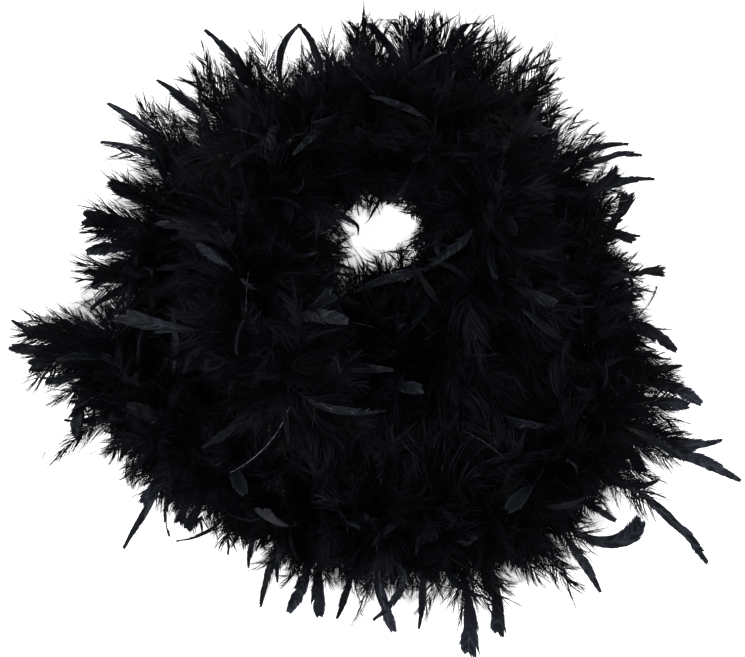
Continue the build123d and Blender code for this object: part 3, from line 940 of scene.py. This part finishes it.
def grow_quills(gathered, segment, rng):
    for i in range(QUILLS_PER_SEGMENT):
        station = (segment + (i + rng.random()) / QUILLS_PER_SEGMENT) * SEGMENT_LENGTH
        way = feather_way(station, rng.random() * 2 * math.pi, rng.normal(0, 0.7))
        template = QUILLS[rng.integers(len(QUILLS))]
        # The tone given here also sets how strong the quill's painted highlights are.
        place(
            gathered, template, station, way, unit(rng.normal(0, 1, 3)), 0.85 + 0.25 * rng.random(),
            rng.normal(0, 0.5), rng.normal(0, 0.4), 0.0, 0.45 + 0.55 * rng.random(), 1,
        )


def heading_way(heading, rise):
    heading, rise = math.radians(heading), math.radians(rise)
    flat = math.cos(rise)
    return np.array([math.cos(heading) * flat, math.sin(heading) * flat, math.sin(rise)])


def segment_of(station):
    return min(int(station / SEGMENT_LENGTH), SEGMENTS - 1)


def grow_low_plumes(gathered, segment, rng):
    """Plumes that lie nearly level under the rest and close the gaps between them."""
    for i in range(LOW_PLUMES_PER_SEGMENT):
        station = (segment + (i + rng.random()) / LOW_PLUMES_PER_SEGMENT) * SEGMENT_LENGTH
        roll = math.pi * (i % 2) + rng.normal(0, 0.25)
        way = feather_way(station, roll, rng.normal(0, 0.5))
        place(
            gathered, LOWS[rng.integers(len(LOWS))], station, way, unit(SKY + rng.normal(0, 0.4, 3)),
            0.9 + 0.25 * rng.random(), rng.normal(0, 0.3), rng.normal(0, 0.3), 0.0,
            0.4 * tone_of(rng), 1,
        )


def grow_tufts(gathered, segment, rng, tufts, templates):
    for station, heading, rise, length, count in tufts:
        if segment_of(station) != segment:
            continue
        first, last = segment * SEGMENT_LENGTH, (segment + 1) * SEGMENT_LENGTH
        for _ in range(count):
            at = min(max(station + rng.normal(0, 8), first), last)
            way = heading_way(heading + rng.normal(0, 7), rise + rng.normal(0, 9))
            template = templates[rng.integers(len(templates))]
            place(
                gathered, template, at, way, unit(SKY + rng.normal(0, 0.7, 3)),
                length / template.length * (0.86 + 0.2 * rng.random()),
                rng.normal(0, 0.3), rng.normal(0, 0.3), rng.normal(0, 0.4), tone_of(rng),
                rng.choice([-1, 1]),
            )


def grow_standouts(gathered, segment, rng, kinds):
    for kind, station, heading, rise, length, curl, sweep, twist, tone in STANDOUTS:
        if kind not in kinds or segment_of(station) != segment:
            continue
        choices = kinds[kind]
        template = choices[rng.integers(len(choices))]
        place(
            gathered, template, station, heading_way(heading, rise), SKY,
            length / template.length, curl, sweep, twist, tone, 1,
        )


def make_feathers():
    for segment in range(SEGMENTS):
        rng = np.random.default_rng(SEED + 10 + segment)
        plumes = Gathered()
        grow_plumes(plumes, segment, rng)
        grow_low_plumes(plumes, segment, rng)
        grow_tufts(plumes, segment, rng, TUFTS, BRUSHES)
        grow_tufts(plumes, segment, rng, MATS, LOWS)
        grow_standouts(plumes, segment, rng, {"plume": BRUSHES, "swirl": BRUSHES})
        piece = plumes.piece(f"plumes_{segment + 1:02d}", [DOWN, SHAFT])
        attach(piece, body_of(segment))
        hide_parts(f"down_{segment + 1:02d}")
        flats = Gathered()
        grow_flats(flats, segment, rng)
        grow_quills(flats, segment, rng)
        kinds = {"sickle": SICKLES, "broad": BROADS, "quill": QUILLS}
        grow_standouts(flats, segment, rng, kinds)
        piece = flats.piece(f"feathers_{segment + 1:02d}", [VANE, SHAFT, DOWN])
        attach(piece, body_of(segment))
        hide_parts(f"flats_{segment + 1:02d}")


# The twine and its thread


def body_spans():
    spans = {}
    for segment in range(SEGMENTS):
        first, _ = spans.get(body_of(segment), (segment, segment))
        spans[body_of(segment)] = (first, segment)
    return spans


def twine_points(first, last):
    """The route's points for one body's stretch of twine, in metres."""
    start, end = first * SEGMENT_LENGTH, (last + 1) * SEGMENT_LENGTH
    start += TWINE_GAP if first > 0 else 0
    end -= TWINE_GAP if last < SEGMENTS - 1 else 0
    runs = (last - first + 1) * TWINE_RUNS_PER_SEGMENT
    return route(start + (end - start) * np.arange(runs + 1) / runs) * MM


def smooth_line(points):
    """Points along the NURBS spline whose control points are given."""
    data = bpy.data.curves.new("route", "CURVE")
    data.dimensions = "3D"
    data.resolution_u = 12
    spline = data.splines.new("NURBS")
    spline.points.add(len(points) - 1)
    for point, spot in zip(spline.points, points):
        point.co = (*spot, 1.0)
    spline.order_u = 3
    spline.use_endpoint_u = True
    holder = bpy.data.objects.new("route", data)
    mesh = bpy.data.meshes.new_from_object(holder)
    line = np.array([v.co for v in mesh.vertices])
    bpy.data.objects.remove(holder)
    bpy.data.curves.remove(data)
    bpy.data.meshes.remove(mesh)
    return line


def resampled(line, step):
    """A line's points at even steps, with their distances along it."""
    distances = np.concatenate([[0], np.cumsum(np.linalg.norm(np.diff(line, axis=0), axis=1))])
    count = max(2, int(round(distances[-1] / step)) + 1)
    even = np.linspace(0, distances[-1], count)
    return np.stack([np.interp(even, distances, line[:, i]) for i in range(3)], axis=1), even


def line_frame(line):
    along = unit(np.gradient(line, axis=0))
    side = unit(np.cross(along, (0.0, 0.0, 1.0)))
    return along, side, np.cross(side, along)


def helix(line, distances, radius, pitch, phase):
    """A strand wound round a line."""
    _, side, up = line_frame(line)
    turn = 2 * np.pi * distances / pitch + phase
    return line + radius * (side * np.cos(turn)[:, None] + up * np.sin(turn)[:, None])


def strand_piece(name, strands, material):
    """One piece of several tubes, each given as points, radius and number of sides."""
    gathered = Gathered()
    for points, radius, sides in strands:
        co, tri = tube(np.asarray(points) / MM, np.full(len(points), radius / MM), sides)
        value = np.full((len(co), 3), 0.5)
        gathered.add(co, tri, value, co[:, :2], np.zeros(len(tri)))
    return gathered.piece(name, [material])


def make_twine():
    """Each body's stretch of two-ply twine and its lock-stitch thread."""
    pieces = {}
    for body, (first, last) in body_spans().items():
        line, distances = resampled(smooth_line(twine_points(first, last)), TWINE_STEP * MM)
        ply = TWINE_DIAMETER * MM / 4
        pitch = TWINE_PITCH * MM
        strands = [
            (helix(line, distances, ply, pitch, phase), ply * PLY_FULLNESS, 7) for phase in (0, math.pi)
        ]
        piece = strand_piece(f"twine_{body}", strands, TWINE)
        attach(piece, body)
        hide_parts(f"core_twine_{body}")
        pieces[body] = (piece, line, distances[-1])
        thread_line, thread_distances = resampled(line, STITCH_STEP * MM)
        turns = helix(
            thread_line, thread_distances, STITCH_COIL_RADIUS * MM, STITCH_PITCH * MM, 1.0
        )
        thread = [(turns, STITCH_THREAD_RADIUS * MM, 5)]
        stitches = strand_piece(f"thread_{body}", thread, THREAD)
        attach(stitches, body)
        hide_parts(f"lock_stitches_{body}")
    return pieces


def make_end(which, body, at, way):
    """The whipping and the knot, a trefoil, at one end of the twine."""
    centre = at - way * WHIPPING_INSET
    stations = np.linspace(centre - WHIPPING_HALF_LENGTH, centre + WHIPPING_HALF_LENGTH, WHIPPING_POINTS)
    line = route(stations) * MM
    distances = (stations - stations[0]) * MM
    turns = helix(line, distances, WHIPPING_COIL_RADIUS * MM, WHIPPING_PITCH * MM, 0.0)
    whipping = strand_piece(f"whipping_{which}", [(turns, WHIPPING_THREAD_RADIUS * MM, 6)], THREAD)
    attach(whipping, body)
    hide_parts(f"end_whipping_{which}")
    _, along, outward, up = route_frame(at)
    low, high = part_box(f"end_knot_{which}")
    middle = (np.array(low) + np.array(high)) / 2
    turn = np.linspace(0, 2 * np.pi, KNOT_POINTS)
    local = np.stack(
        [
            np.sin(turn) + 2 * np.sin(2 * turn),
            np.cos(turn) - 2 * np.cos(2 * turn),
            -np.sin(3 * turn),
        ],
        axis=1,
    ) * KNOT_SIZE * MM
    world = middle + local[:, :1] * outward + local[:, 1:2] * up + local[:, 2:] * along
    knot = strand_piece(f"knot_{which}", [(world, KNOT_CORD_RADIUS * MM, 7)], TWINE)
    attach(knot, body)
    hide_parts(f"end_knot_{which}")
    return whipping, knot


twine_pieces = make_twine()
end_pieces = {
    "tail_3": make_end("outer", "tail_3", 0.0, -1),
    "head_2": make_end("inner", "head_2", BOA_LENGTH, 1),
}
make_feathers()


# The stage

FLOOR_WIDTH = 12.0


def make_floor():
    mesh = bpy.data.meshes.new("floor")
    half = FLOOR_WIDTH / 2
    mesh.from_pydata(
        [(-half, -half, 0), (half, -half, 0), (half, half, 0), (-half, half, 0)], [], [(0, 1, 2, 3)]
    )
    mesh.materials.append(floor_material())
    floor = bpy.data.objects.new("floor", mesh)
    bpy.context.scene.collection.objects.link(floor)


def add_light(name, spot, size, power):
    data = bpy.data.lights.new(name, "AREA")
    data.shape = "DISK"
    data.size = size
    data.energy = power
    light = bpy.data.objects.new(name, data)
    light.location = spot
    aim = Vector((0.0, 0.0, 0.05)) - light.location
    light.rotation_euler = aim.to_track_quat("-Z", "Y").to_euler()
    bpy.context.scene.collection.objects.link(light)


def make_light():
    add_light("key", (-0.9, -1.3, 1.7), 0.9, 42.0)
    add_light("fill", (1.4, -0.8, 1.3), 1.2, 22.0)
    add_light("back", (0.2, 1.6, 1.2), 1.2, 14.0)
    world = bpy.data.worlds.new("studio")
    world.use_nodes = True
    world.node_tree.nodes["Background"].inputs[0].default_value = (1.0, 1.0, 1.0, 1.0)
    world.node_tree.nodes["Background"].inputs[1].default_value = 0.75
    bpy.context.scene.world = world
    bpy.context.scene.view_settings.view_transform = "Standard"


make_floor()
make_light()
